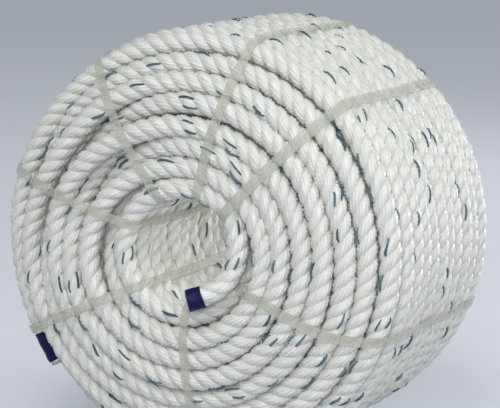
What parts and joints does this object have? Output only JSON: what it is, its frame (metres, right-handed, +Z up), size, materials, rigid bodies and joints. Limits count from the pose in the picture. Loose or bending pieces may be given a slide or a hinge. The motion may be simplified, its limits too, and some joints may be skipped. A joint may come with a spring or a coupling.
{
  "type": "strapped coil of mooring rope",
  "caption": "Hollow round coil of laid mooring rope lying on its side, held together by flat straps through its bore, with both rope ends taped.",
  "frame": {"origin": "on the surface the coil rests on, straight under its axis and midway between its two faces", "axes": "+Y along the coil's axis, from the front face (where both rope ends are) to the rear face; +Z up; the coil rests on its side on a slightly flattened strip"},
  "size_m": [0.24, 0.1985, 0.2385],
  "materials": {
    "rope": "bright white laid nylon, satin sheen, thin dark blue marker yarn",
    "tape": "navy-blue adhesive tape, slight gloss",
    "strap": "half-clear pale plastic strap"
  },
  "bodies": {
    "root": {"rope_coil": "rope", "rope_inner_end": "rope", "rope_outer_end": "rope", "inner_end_tape": "tape", "outer_end_tape": "tape", "strap_1": "strap", "strap_2": "strap", "strap_3": "strap", "strap_4": "strap", "strap_5": "strap", "strap_6": "strap", "strap_7": "strap"}
  },
  "joints": []
}
